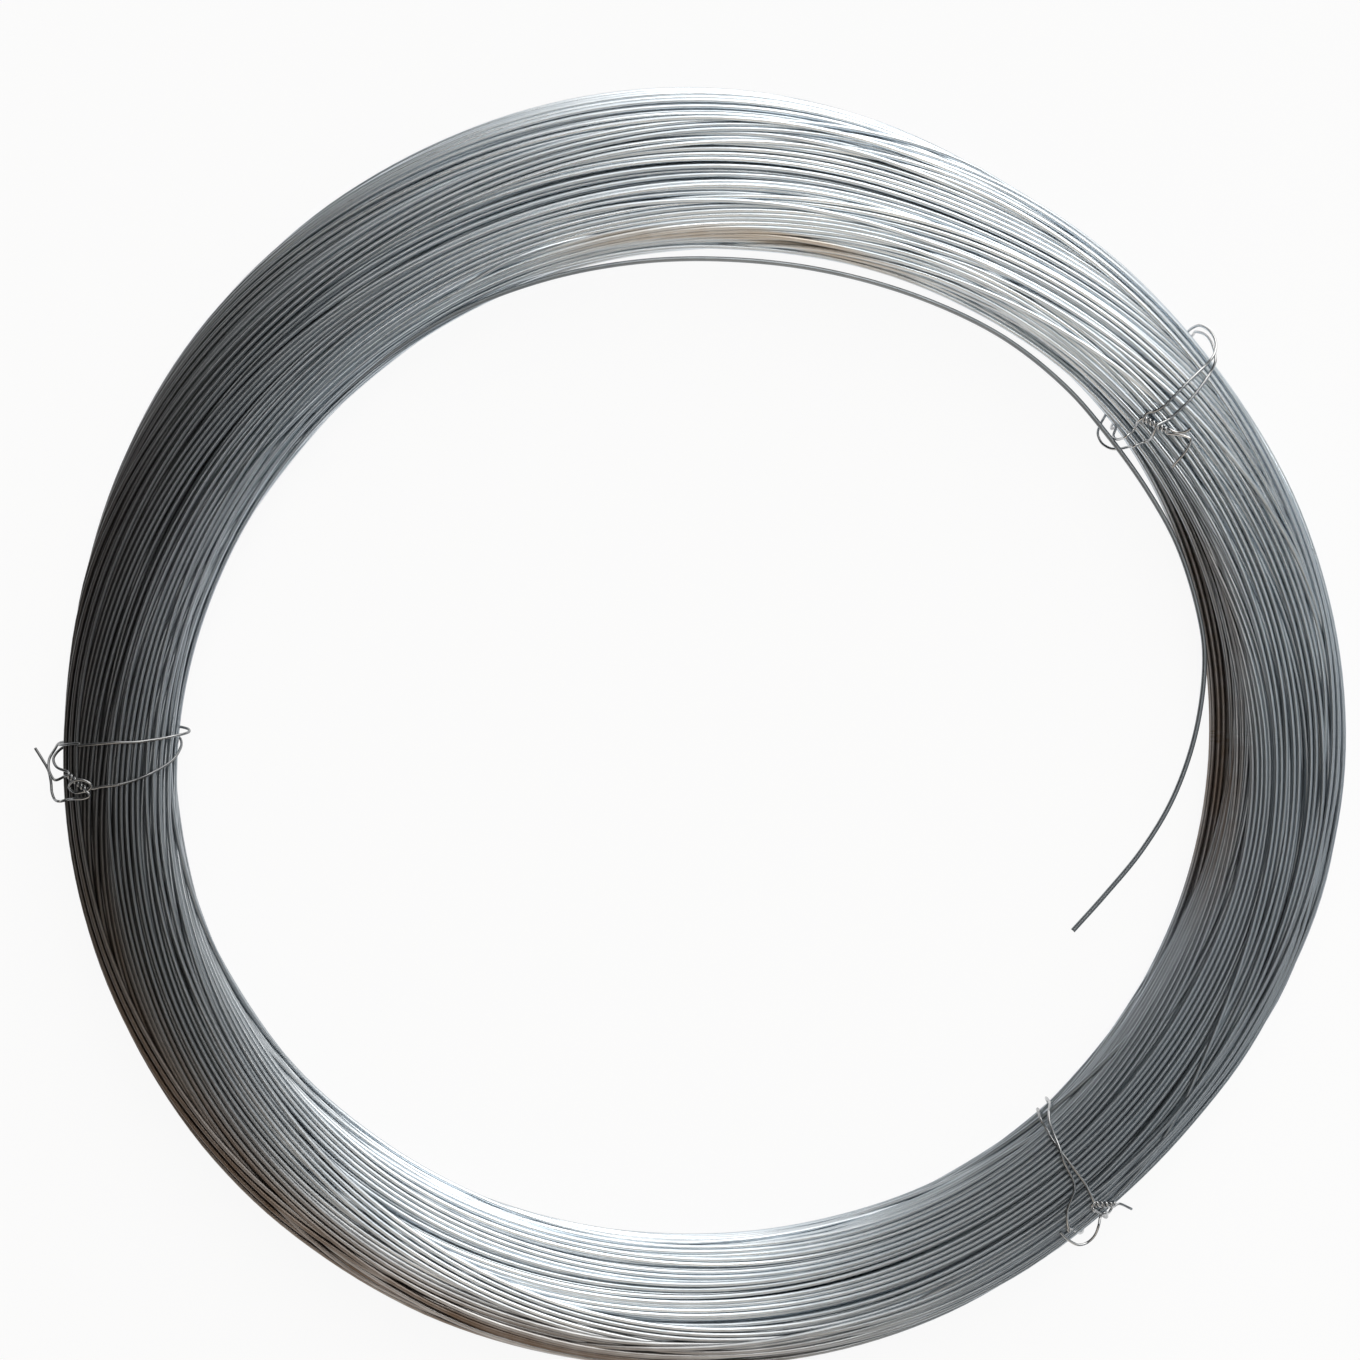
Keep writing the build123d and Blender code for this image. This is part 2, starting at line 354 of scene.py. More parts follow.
def place(reach, angle, height):
    """A place round the coil in metres."""
    return np.stack([reach * np.cos(angle), reach * np.sin(angle), height], axis=-1) * MM


def soften(line, degrees):
    """A closed line of stations, one or more turns long, smoothed by a bell curve that many degrees wide."""
    count = line.shape[0]
    waves = np.fft.fftfreq(count, d=1 / STATIONS)
    kept = np.exp(-2 * (math.pi * waves * degrees / 360) ** 2)
    kept = kept.reshape([count] + [1] * (line.ndim - 1))
    return np.fft.ifft(np.fft.fft(line, axis=0) * kept, axis=0).real


def all_round(points, softness):
    """A value at every station, read from (degrees, value) points."""
    degrees, values = zip(*points)
    line = np.interp(np.degrees(ANGLES), degrees, values, period=360)
    return soften(line, softness)


def near_ties(width):
    """How near each station is to a tie, from 0 to 1."""
    nearness = np.zeros(STATIONS)
    for angle in TIE_ANGLES.values():
        away = (np.degrees(ANGLES) - angle + 180) % 360 - 180
        nearness = np.maximum(nearness, np.exp(-0.5 * (away / width) ** 2))
    return nearness


class Section:
    """The bundle's section at every station, in millimetres."""

    def __init__(self, sizes):
        self.wire = sizes.wire_diameter / MM
        pinch = TIE_PINCH * near_ties(TIE_PINCH_WIDTH)
        self.outer = all_round(OUTER_EDGE, EDGE_SOFTNESS) - pinch
        inner = all_round(INNER_EDGE, EDGE_SOFTNESS) + pinch
        self.floor = TIE_LIFT * near_ties(TIE_LIFT_WIDTH)
        slump = np.sqrt(sizes.bundle_width / MM / (self.outer - inner))
        top = soften(sizes.bundle_height / MM * slump, EDGE_SOFTNESS) - pinch
        self.middle = (self.outer + inner) / 2
        self.half_width = (self.outer - inner - self.wire) / 2
        self.half_height = (top - self.floor - self.wire) / 2
        self.centre_height = (top + self.floor) / 2

    def outline(self):
        """The middles of the outermost turns, from the outer side over the top: reach and height, each by
        station and place."""
        swing = np.linspace(0, 2 * math.pi, OUTLINE_POINTS + 1)
        power = 2 / SECTION_SQUARENESS
        across = np.sign(np.cos(swing)) * np.abs(np.cos(swing)) ** power
        up = np.sign(np.sin(swing)) * np.abs(np.sin(swing)) ** power
        reach = self.middle[:, None] + self.half_width[:, None] * across
        height = self.centre_height[:, None] + self.half_height[:, None] * up
        return reach, height

    def lay_layer(self, slots, depth):
        """Places on the outline for turns at those shares of the way round it, that deep in the bundle."""
        reach, height = self.outline()
        laid = np.empty(slots.shape + (2,))
        for station in range(STATIONS):
            steps = np.hypot(np.diff(reach[station]), np.diff(height[station]))
            way = np.concatenate([[0], np.cumsum(steps)]) / steps.sum()
            share = slots[:, station] % 1
            ahead, behind = (share + DIRECTION_SHARE) % 1, (share - DIRECTION_SHARE) % 1
            at = [np.interp(share, way, line[station]) for line in (reach, height)]
            along_reach = np.interp(ahead, way, reach[station]) - np.interp(behind, way, reach[station])
            along_height = np.interp(ahead, way, height[station]) - np.interp(behind, way, height[station])
            length = np.hypot(along_reach, along_height)
            inwards = np.stack([-along_height / length, along_reach / length], axis=-1)
            laid[:, station] = np.stack(at, axis=-1) + inwards * depth[:, station, None]
        return laid

    def top_at(self, reach):
        """The height of the outermost turns' middles over those places."""
        share = np.clip(np.abs(reach - self.middle) / self.half_width, 0, 1)
        rise = (1 - share**SECTION_SQUARENESS) ** (1 / SECTION_SQUARENESS)
        return self.centre_height + self.half_height * rise


def wander(slots, clumps, swings, strength, random):
    """A smooth random field over the slots of a layer and the angle round the coil."""
    field = np.zeros_like(slots)
    for clump in clumps:
        for swing in swings:
            wave = 2 * math.pi * clump * slots + swing * ANGLES + random.uniform(0, 2 * math.pi)
            field += random.normal() * np.cos(wave)
    return strength * field / math.sqrt(len(clumps) * len(swings) / 2)


def turn_count(turns):
    """How many turns each station of a chain of turns has behind it."""
    return np.arange(turns)[:, None] + ANGLES[None, :] / (2 * math.pi)


def layer_of_turns(section, turns, share, depth, random):
    """One layer: a closed chain of turns that moves on by one slot in each turn."""
    outline_length = OUTLINE_FACTOR * (section.half_width + section.half_height)
    slots = turn_count(turns) / turns
    roll = share * all_round(ROLL, ROLL_SOFTNESS)
    aside = wander(slots, ASIDE_CLUMPS, STRAY_WAVES, ASIDE_STRENGTH, random)
    sunk = wander(slots, SUNK_CLUMPS, STRAY_WAVES, SUNK_STRENGTH, random)
    return section.lay_layer(slots + (roll + aside) / outline_length, depth + SUNK_MEAN + sunk)


def hank_slots(turns, crossing):
    """The slot that each station of a hank's chain has, and how near it is to where the last turn crosses
    back over the others."""
    crossing_count = turns - 1 + crossing / 360
    slots = (turn_count(turns) - crossing_count) % turns
    away = np.minimum(slots, turns - slots) * 360
    return slots, np.exp(-0.5 * (away / CROSSING_WIDTH) ** 2)


def crossing_hank(section, turns, lift_off, crossing, path, random):
    """Turns that lie side by side on top of the bundle and wander across it."""
    slots, crossing_over = hank_slots(turns, crossing)
    aside = (slots - turns / 2) * section.wire * HANK_PITCH
    drift = sum(
        random.normal(0, DRIFT) * np.cos(wave * ANGLES + random.uniform(0, 2 * math.pi))
        for wave in DRIFT_WAVES
    )
    reach = all_round(path, ROLL_SOFTNESS) + aside + drift
    height = section.top_at(reach) + section.wire * (lift_off + CROSSING_LIFT * crossing_over)
    return np.stack([reach, height], axis=-1)


def foot_hank(section, turns, row, height, crossing, path):
    """Turns in rows along the foot of the bundle's bore side."""
    slots, _ = hank_slots(turns, crossing)
    whole, part = np.floor(slots), slots % 1
    stepping_over = np.clip(part * FOOT_PARTS - (FOOT_PARTS - 1), 0, 1)
    aside = (whole % row + stepping_over - row / 2 + 0.5) * section.wire * FOOT_PITCH
    level = (whole // row - 1) * section.wire * FOOT_PITCH
    reach = all_round(path, ROLL_SOFTNESS) + aside
    return np.stack([reach, height + level], axis=-1)


def single_turn(path, height):
    """One closed turn at one height."""
    reach = all_round(path, ROLL_SOFTNESS)[None, :]
    return np.stack([reach, np.full_like(reach, height)], axis=-1)


def touching_pairs(laid, reach):
    """The places of every two turns that lie within that reach at a station."""
    gap = (laid[:, None] - laid[None, :]).astype(np.float32)
    first, second, station = np.nonzero(gap[..., 0] ** 2 + gap[..., 1] ** 2 < reach**2)
    kept = first < second
    return first[kept] * STATIONS + station[kept], second[kept] * STATIONS + station[kept]


def settle(target, chains, section, rounds):
    """Turns pushed apart until none lies in another, each kept smooth and near its target."""
    laid = target.copy()
    wire = section.wire
    for step in range(rounds):
        if step % PAIR_ROUNDS == 0:
            pairs = touching_pairs(laid, wire + PAIR_MARGIN)
        flat = laid.reshape(-1, 2)
        apart = flat[pairs[0]] - flat[pairs[1]]
        distance = np.maximum(np.hypot(apart[:, 0], apart[:, 1]), LEAST_DISTANCE * wire)
        push = apart / distance[:, None] * (np.maximum(wire - distance, 0) * PUSH)[:, None]
        moved = [
            np.bincount(pairs[0], push[:, axis], len(flat)) - np.bincount(pairs[1], push[:, axis], len(flat))
            for axis in range(2)
        ]
        laid += np.stack(moved, axis=-1).reshape(laid.shape) + PULL_BACK * (target - laid)
        start = 0
        for count in chains:
            chain = laid[start:start + count].reshape(-1, 2)
            laid[start:start + count] = soften(chain, WIRE_STIFFNESS).reshape(count, STATIONS, 2)
            start += count
        laid[..., 0] = np.minimum(laid[..., 0], section.outer - wire / 2 + RIM_SLACK)
        laid[..., 1] = np.clip(laid[..., 1], section.floor + wire / 2, CEILING - wire / 2)
    return laid


class LaidCoil:
    """Every turn of the coil, settled in the bundle: its places by turn and station, and its chains."""

    def __init__(self, sizes):
        random = np.random.default_rng(sizes.seed)
        self.section = Section(sizes)
        parts = {}
        for name, (turns, share, depth) in LAYERS.items():
            parts[name] = layer_of_turns(self.section, turns, share, depth, random)
        for name, hank in HANKS.items():
            parts[name] = crossing_hank(self.section, *hank, random)
        parts["foot_hank"] = foot_hank(self.section, *FOOT_HANK)
        parts["slack_turn"] = single_turn(SLACK_TURN, SLACK_HEIGHT)
        self.names = list(parts)
        self.chains = [len(part) for part in parts.values()]
        self.places = settle(np.concatenate(list(parts.values())), self.chains, self.section, sizes.rounds)
        self.tints = random.uniform(0, 1, len(self.places))

    def chain(self, name):
        """The numbers of the turns in one chain."""
        first = sum(self.chains[:self.names.index(name)])
        return list(range(first, first + self.chains[self.names.index(name)]))

    def route(self, turns, following):
        """The line of those turns one after another up to where the following one starts, and its tint."""
        line = self.places[turns].reshape(-1, 2)
        line = np.concatenate([line, self.places[following, :1]])
        angle = np.concatenate([np.tile(ANGLES, len(turns)), ANGLES[:1]])
        tint = np.repeat(self.tints[turns], STATIONS)
        return place(line[:, 0], angle, line[:, 1]), np.append(tint, self.tints[following])


laid_coils = {}


def laid_coil():
    """The coil for the sizes as they are set, settled once for each set of sizes."""
    sizes = bpy.context.scene.wire_coil_sizes
    key = (sizes.wire_diameter, sizes.bundle_width, sizes.bundle_height, sizes.rounds, sizes.seed)
    if key not in laid_coils:
        laid_coils[key] = LaidCoil(sizes)
    return laid_coils[key]


class TieBed:
    """What a tight tie lies on at its place round the coil. Its places are in millimetres: reach from the
    coil's axis, sideways towards larger angles, and height."""

    def __init__(self, coil, angle, wire, tie):
        self.angle = math.radians(angle)
        station = round(angle / 360 * STATIONS)
        near = [(station + step) % STATIONS for step in (-1, 0, 1)]
        middles = coil.places[:, near].reshape(-1, 1, 2)
        swing = np.linspace(0, 2 * math.pi, BED_WIRE_SIDES, endpoint=False)
        rims = middles + (wire + tie) / 2 * np.stack([np.cos(swing), np.sin(swing)], axis=-1)
        hull = outer_hull(rims.reshape(-1, 2))
        closed = np.concatenate([hull, hull[:1]])
        share = np.linspace(0, 1, BED_SIDE_PARTS, endpoint=False)[None, :, None]
        self.rim = (closed[:-1, None] * (1 - share) + closed[1:, None] * share).reshape(-1, 2)
        self.middle = (self.rim.min(axis=0) + self.rim.max(axis=0)) / 2
        self.lowest = tie / 2

    def top(self, reach):
        """The height of a tie that lies on top there, or of the bundle's sides where it stands clear."""
        upper = self.rim[self.rim[:, 1] >= self.middle[1]]
        order = np.argsort(upper[:, 0])
        return np.interp(reach, upper[order, 0], upper[order, 1])

    def rim_at(self, direction, slack):
        """The place on the rim in that direction, 0 outwards and 90 up, that much slack off it."""
        away = self.rim - self.middle
        bearing = np.degrees(np.arctan2(away[:, 1], away[:, 0])) % 360
        order = np.argsort(bearing)
        distance = np.interp(direction % 360, bearing[order], np.hypot(*away.T)[order], period=360) + slack
        turn = math.radians(direction)
        return self.middle + distance * np.array([math.cos(turn), math.sin(turn)])

    def points(self, spans):
        """A route through all the spans: points on top, free points, and passes round the sides."""
        points = []
        for kind, *span in spans:
            if kind == "over":
                points += [(reach, side, self.top(reach) + lift) for reach, side, lift in span[0]]
                continue
            if kind == "free":
                points += span[0]
                continue
            if kind == "twist":
                points += self.strand(*span)
                continue
            (start, end), (side, far_side), slack = span
            for share in np.linspace(0, 1, PASS_POINTS):
                reach, height = self.rim_at(start + (end - start) * share, slack)
                points.append((reach, side + (far_side - side) * share, max(height, self.lowest)))
        return np.array(points)

    def strand(self, start, end, turns, phase):
        """One strand of a twisted knot that lies on top between two places."""
        way = np.subtract(end, start)
        across = np.array([-way[1], way[0]]) / np.hypot(*way)
        points = []
        for share in np.linspace(0, 1, turns * TWIST_STEPS + 1):
            swing = math.radians(phase) + 2 * math.pi * turns * share
            reach, side = start + way * share + across * TWIST_RADIUS * math.cos(swing)
            points.append((reach, side, self.top(reach) + TWIST_RADIUS * (1 + math.sin(swing))))
        return points

    def route(self, spans):
        """The smooth line of the tie in metres."""
        reach, side, height = smooth_line(self.points(spans), ROUTE_STEP).T
        height = np.maximum(height, self.lowest)
        turn = self.angle
        across = reach * math.cos(turn) - side * math.sin(turn)
        up = reach * math.sin(turn) + side * math.cos(turn)
        return np.stack([across, up, height], axis=-1) * MM


def outer_hull(points):
    """The corners of the tightest outline round some points, counter-clockwise."""
    ordered = sorted(map(tuple, points))
    sides = []
    for run in (ordered, ordered[::-1]):
        side = []
        for point in run:
            while len(side) > 1 and turns_right(side[-2], side[-1], point):
                side.pop()
            side.append(point)
        sides += side[:-1]
    return np.array(sides)


def turns_right(start, middle, end):
    across = (middle[0] - start[0]) * (end[1] - start[1]) - (middle[1] - start[1]) * (end[0] - start[0])
    return across <= 0


def smooth_line(points, step):
    """A smooth curve through all the points, cut into steps of about that length."""
    ends = np.concatenate([2 * points[:1] - points[1:2], points, 2 * points[-1:] - points[-2:-1]])
    line = []
    for before, start, end, after in zip(ends, ends[1:], ends[2:], ends[3:]):
        legs = (start - before, end - start, after - end)
        came, here, goes = [max(np.linalg.norm(leg), SHORTEST_SPAN) ** 0.5 for leg in legs]
        leave = (end - start) - here * ((end - before) / (came + here) - (start - before) / came)
        arrive = (end - start) - here * ((after - start) / (here + goes) - (after - end) / goes)
        count = max(2, math.ceil(np.linalg.norm(end - start) / step))
        t = np.arange(count)[:, None] / count
        line.append(
            (2 * t**3 - 3 * t**2 + 1) * start + (t**3 - 2 * t**2 + t) * leave
            + (3 * t**2 - 2 * t**3) * end + (t**3 - t**2) * arrive
        )
    return np.concatenate(line + [points[-1:]])


def plain_object(name, mesh):
    made = bpy.data.objects.new(name, mesh)
    bpy.context.scene.collection.objects.link(made)
    return made


def routes_mesh(name, routes):
    """Bare edges for wires to follow, from (line in metres, tint at each place) pairs."""
    mesh = bpy.data.meshes.new(name)
    points, edges, along, tints = [], [], [], []
    for line, tint in routes:
        first = len(points)
        steps = np.linalg.norm(np.diff(line, axis=0), axis=1)
        points += line.tolist()
        edges += [(first + step, first + step + 1) for step in range(len(line) - 1)]
        along += np.append(0, np.cumsum(steps)).tolist()
        tints += np.broadcast_to(tint, len(line)).tolist()
    mesh.from_pydata(points, edges, [])
    for label, values in (("along", along), ("tint", tints)):
        mesh.attributes.new(label, "FLOAT", "POINT").data.foreach_set("value", values)
    return mesh


def wire_tree():
    """The node tree that draws a round wire along every chain of edges."""
    tree = bpy.data.node_groups.new(WIRE_TREE, "GeometryNodeTree")
    sockets = (
        ("Routes", "NodeSocketGeometry", None),
        ("Wire Diameter", "NodeSocketFloat", 0.0025),
        ("Sides", "NodeSocketInt", 8),
        ("Finish", "NodeSocketMaterial", None),
    )
    for label, kind, value in sockets:
        socket = tree.interface.new_socket(label, in_out="INPUT", socket_type=kind)
        if value is not None:
            socket.default_value = value
    tree.interface.new_socket("Wires", in_out="OUTPUT", socket_type="NodeSocketGeometry")
    build = NodeBuilder(tree)
    given = build.add("NodeGroupInput").outputs
    routes = build.add("GeometryNodeMeshToCurve", Mesh=given["Routes"])
    radius = build.math("DIVIDE", given["Wire Diameter"], 2.0)
    circle = build.add("GeometryNodeCurvePrimitiveCircle", Resolution=given["Sides"], Radius=radius)
    around = build.add("GeometryNodeCaptureAttribute")
    around.capture_items.new("FLOAT", "Around")
    build.feed(around.inputs["Geometry"], circle.outputs["Curve"])
    build.feed(around.inputs["Around"], build.add("GeometryNodeSplineParameter").outputs["Factor"])
    drawn = build.add("GeometryNodeCurveToMesh", Curve=routes.outputs["Curve"], Fill_Caps=True)
    build.feed(drawn.inputs["Profile Curve"], around.outputs["Geometry"])
    marked = build.add("GeometryNodeStoreNamedAttribute", Geometry=drawn.outputs["Mesh"], Name="around")
    build.feed(marked.inputs["Value"], around.outputs["Around"])
    smooth = build.add("GeometryNodeSetShadeSmooth", Geometry=marked.outputs["Geometry"])
    real = build.add("GeometryNodeRealizeInstances", Geometry=smooth.outputs["Geometry"])
    finished = build.add("GeometryNodeSetMaterial", Geometry=real.outputs["Geometry"])
    build.feed(finished.inputs["Material"], given["Finish"])
    build.add("NodeGroupOutput", Wires=finished.outputs["Geometry"])
    return tree


def draw_wires(name, routes, diameter, sides, finish):
    """Wires along routes, as one plain mesh object."""
    tree = bpy.data.node_groups.get(WIRE_TREE) or wire_tree()
    source = plain_object(name + "_routes", routes_mesh(name + "_routes", routes))
    modifier = source.modifiers.new("wires", "NODES")
    modifier.node_group = tree
    values = {"Wire Diameter": diameter, "Sides": sides, "Finish": finish}
    for socket in tree.interface.items_tree:
        if socket.in_out == "INPUT" and socket.name in values:
            modifier[socket.identifier] = values[socket.name]
    bpy.context.view_layer.update()
    mesh = bpy.data.meshes.new_from_object(source.evaluated_get(bpy.context.evaluated_depsgraph_get()))
    source.modifiers.remove(modifier)
    bpy.data.objects.remove(source)
    mesh.name = name
    return plain_object(name, mesh)


def shader_group(name, inputs, outputs):
    """An empty shader node group with its sockets, its builder and its two end nodes."""
    tree = bpy.data.node_groups.new(name, "ShaderNodeTree")
    for label, kind, value in inputs:
        tree.interface.new_socket(label, in_out="INPUT", socket_type=kind).default_value = value
    for label, kind in outputs:
        tree.interface.new_socket(label, in_out="OUTPUT", socket_type=kind)
    build = NodeBuilder(tree)
    return build, build.add("NodeGroupInput").outputs, build.add("NodeGroupOutput")


def drawing_lines():
    """Fine lines along the wire, left by the die that it was drawn through."""
    name = "Drawing lines"
    if name in bpy.data.node_groups:
        return bpy.data.node_groups[name]
    build, given, out = shader_group(
        name,
        [("Fineness", "NodeSocketFloat", 3.0), ("Stretch", "NodeSocketFloat", 60.0)],
        [("Lines", "NodeSocketFloat")],
    )
    turn = build.math("MULTIPLY", build.read("around"), 2 * math.pi)
    across = build.math("MULTIPLY", build.math("COSINE", turn), given["Fineness"])
    up = build.math("MULTIPLY", build.math("SINE", turn), given["Fineness"])
    along = build.math("MULTIPLY", build.read("along"), given["Stretch"])
    vector = build.add("ShaderNodeCombineXYZ", X=across, Y=up, Z=along).outputs[0]
    build.feed(out.inputs["Lines"], build.noise(vector, 1.0, detail=4.0, roughness=0.65))
    return out.id_data


def zinc_bloom():
    """The cloudy patches of a zinc coat, which follow the wire for a few centimetres."""
    name = "Zinc bloom"
    if name in bpy.data.node_groups:
        return bpy.data.node_groups[name]
    build, given, out = shader_group(
        name,
        [("Scale", "NodeSocketFloat", 60.0), ("Tint", "NodeSocketFloat", 0.5)],
        [("Bloom", "NodeSocketFloat")],
    )
    where = build.add("ShaderNodeTexCoord").outputs["Object"]
    cloud = build.noise(where, given["Scale"], detail=4.0, roughness=0.6)
    along = build.math("MULTIPLY", build.read("along"), STREAKS_PER_METRE)
    turn = build.math("MULTIPLY", build.read("tint"), STREAK_SHIFT)
    on_wire = build.add("ShaderNodeCombineXYZ", X=along, Y=turn).outputs[0]
    streak = build.noise(on_wire, 1.0, detail=2.0, roughness=0.5)
    cloud = build.math("MULTIPLY", cloud, CLOUD_SHARE)
    both = build.math("ADD", cloud, build.math("MULTIPLY", streak, STREAK_SHARE))
    lifted = build.math("ADD", both, build.math("MULTIPLY", given["Tint"], TINT_SHARE))
    build.feed(out.inputs["Bloom"], build.ramp(lifted, BLOOM_NONE, BLOOM_WHOLE))
    return out.id_data


def side_of_coil():
    """A mask for one side of the coil: 1 in that direction and between those distances from the axis."""
    name = "Side of the coil"
    if name in bpy.data.node_groups:
        return bpy.data.node_groups[name]
    build, given, out = shader_group(
        name,
        [
            ("Direction", "NodeSocketVector", (1, 0, 0)), ("Spread", "NodeSocketFloat", 0.8),
            ("Clear At", "NodeSocketFloat", 0.3), ("Full At", "NodeSocketFloat", 0.32),
        ],
        [("Mask", "NodeSocketFloat")],
    )
    where = build.add("ShaderNodeTexCoord").outputs["Object"]
    flat = build.vector("MULTIPLY", where, (1, 1, 0))
    facing = build.vector("DOT_PRODUCT", build.vector("NORMALIZE", flat), given["Direction"])
    near = build.ramp(facing, given["Spread"], PATCH_WHOLE)
    deep = build.ramp(build.vector("LENGTH", flat), given["Clear At"], given["Full At"])
    build.feed(out.inputs["Mask"], build.math("MULTIPLY", near, deep))
    return out.id_data


def wire_material(name, light, dark, roughness, painted_shade_and_tone_patches):
    """A drawn and zinc coated steel wire: its two tones, its roughness and (tone, direction in degrees,
    spread, clear at, full at, share lost over bright zinc) patches, most of which paint shade and
    reflections onto its colour on one side of the coil."""
    material = bpy.data.materials.new(name)
    material.use_nodes = True
    build = NodeBuilder(material.node_tree)
    shader = material.node_tree.nodes["Principled BSDF"]
    shader.inputs["Metallic"].default_value = 1.0
    lines = build.group(drawing_lines(), Fineness=4.0, Stretch=40.0)["Lines"]
    bloom = build.group(zinc_bloom(), Scale=55.0, Tint=build.read("tint"))["Bloom"]
    tone = build.mix(bloom, (*dark, 1), (*light, 1))
    darker = build.math("MULTIPLY", build.ramp(lines, LINE_FAINT, LINE_DARK), LINE_SHARE)
    tone = build.mix(darker, tone, (*[LINE_TONE * part for part in dark], 1))
    rough = build.math("MULTIPLY_ADD", bloom, -BLOOM_GLOSS, roughness + DULL_ROUGHNESS)
    rough = build.math("SUBTRACT", rough, LINE_ROUGHNESS / 2)
    rough = build.math("MULTIPLY_ADD", lines, LINE_ROUGHNESS, rough)
    # Most of these patches paint shade and reflections into the metal's colour on one side of the coil.
    for patch_tone, direction, spread, clear, full, lost in painted_shade_and_tone_patches:
        turn = math.radians(direction)
        towards = (math.cos(turn), math.sin(turn), 0)
        side = build.group(side_of_coil(), Direction=towards, Spread=spread, Clear_At=clear, Full_At=full)
        patchy = build.math("MULTIPLY", side["Mask"], build.math("MULTIPLY_ADD", bloom, -lost, 1.0))
        tone = build.mix(patchy, tone, (*patch_tone, 1))
        rough = build.math("MULTIPLY_ADD", patchy, PATCH_ROUGHNESS, rough)
    build.feed(shader.inputs["Base Color"], tone)
    build.feed(shader.inputs["Roughness"], rough)
    relief = build.add("ShaderNodeBump", Strength=0.25, Distance=0.00006, Height=lines)
    build.feed(shader.inputs["Normal"], relief.outputs["Normal"])
    return material


class NodeBuilder:
    """Short calls for the nodes of one tree, their values and their links."""

    def __init__(self, tree):
        self.tree = tree

    def feed(self, socket, value):
        if isinstance(value, bpy.types.NodeSocket):
            self.tree.links.new(value, socket)
        else:
            socket.default_value = value

    def add(self, kind, **inputs):
        """A node, with its inputs named by their labels with _ for a space."""
        node = self.tree.nodes.new(kind)
        for label, value in inputs.items():
            self.feed(node.inputs[label.replace("_", " ")], value)
        return node

    def group(self, tree, **inputs):
        node = self.tree.nodes.new("ShaderNodeGroup")
        node.node_tree = tree
        for label, value in inputs.items():
            self.feed(node.inputs[label.replace("_", " ")], value)
        return node.outputs

    def work(self, kind, operation, values):
        node = self.tree.nodes.new(kind)
        node.operation = operation
        for socket, value in zip(node.inputs, values):
            self.feed(socket, value)
        return node

    def math(self, operation, *values):
        return self.work("ShaderNodeMath", operation, values).outputs[0]

    def vector(self, operation, *values):
        node = self.work("ShaderNodeVectorMath", operation, values)
        return node.outputs["Value" if operation in ("LENGTH", "DOT_PRODUCT") else "Vector"]

    def read(self, name):
        """A number that the mesh holds."""
        node = self.tree.nodes.new("ShaderNodeAttribute")
        node.attribute_name = name
        return node.outputs["Fac"]

    def mix(self, share, first, second):
        """A colour between two."""
        node = self.tree.nodes.new("ShaderNodeMix")
        node.data_type = "RGBA"
        for label, value in (("Factor_Float", share), ("A_Color", first), ("B_Color", second)):
            socket = next(socket for socket in node.inputs if socket.identifier == label)
            self.feed(socket, value)
        return next(socket for socket in node.outputs if socket.identifier == "Result_Color")

    def ramp(self, value, low, high):
        """0 at the low value, 1 at the high one, and smooth between."""
        node = self.add("ShaderNodeMapRange", Value=value, From_Min=low, From_Max=high)
        node.interpolation_type = "SMOOTHSTEP"
        return node.outputs["Result"]

    def noise(self, vector, scale, detail, roughness):
        node = self.add("ShaderNodeTexNoise", Vector=vector, Scale=scale, Detail=detail, Roughness=roughness)
        return node.outputs["Fac"]


def galvanised_wire():
    name = "Galvanised wire"
    if name in bpy.data.materials:
        return bpy.data.materials[name]
    colours = bpy.context.scene.wire_coil_colours
    painted_shade_and_tone_patches = [
        # Painted shade: an even grey on the right of the coil.
        (colours.painted_shade_right, 329, 0.56, 0.20, 0.24, 0.2),
        # Painted shade: near black on the left of the coil.
        (colours.painted_shade_left, 179, 0.40, 0.222, 0.312, 0.1),
        # Painted reflection and shade in brown: on the outer side at the lower left, and on the bore side at
        # the right.
        (colours.patch_tone, 240, 0.50, 0.290, 0.316, 0.4),
        (colours.patch_tone, 5, 0.86, 0.283, 0.262, 0.6),
        # A pale warm band along the bore side at the top, and inside it the zinc's own light tone at the
        # innermost edge.
        (colours.warm_bore_band, 85, 0.90, 0.2525, 0.250, 0.7),
        (colours.zinc_light, 85, 0.86, 0.2462, 0.2445, 0.0),
    ]
    return wire_material(name, colours.zinc_light, colours.zinc_dark, colours.roughness, painted_shade_and_tone_patches)


def free_end_metal():
    colours = bpy.context.scene.wire_coil_colours
    # The free end is the same wire, with its zinc tones darkened as painted shade.
    light = [FREE_END_SHADED_BRIGHTNESS * part for part in colours.zinc_light]
    dark = [FREE_END_SHADED_BRIGHTNESS * part for part in colours.zinc_dark]
    return wire_material("Shaded free end wire", light, dark, FREE_END_ROUGHNESS, [])


def tie_metal():
    name = "Tie wire"
    if name in bpy.data.materials:
        return bpy.data.materials[name]
    colours = bpy.context.scene.wire_coil_colours
    return wire_material(name, colours.tie_light, colours.tie_dark, colours.tie_roughness, [])


def put_in_place(piece, node):
    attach(piece, ROOT)
    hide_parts(node)


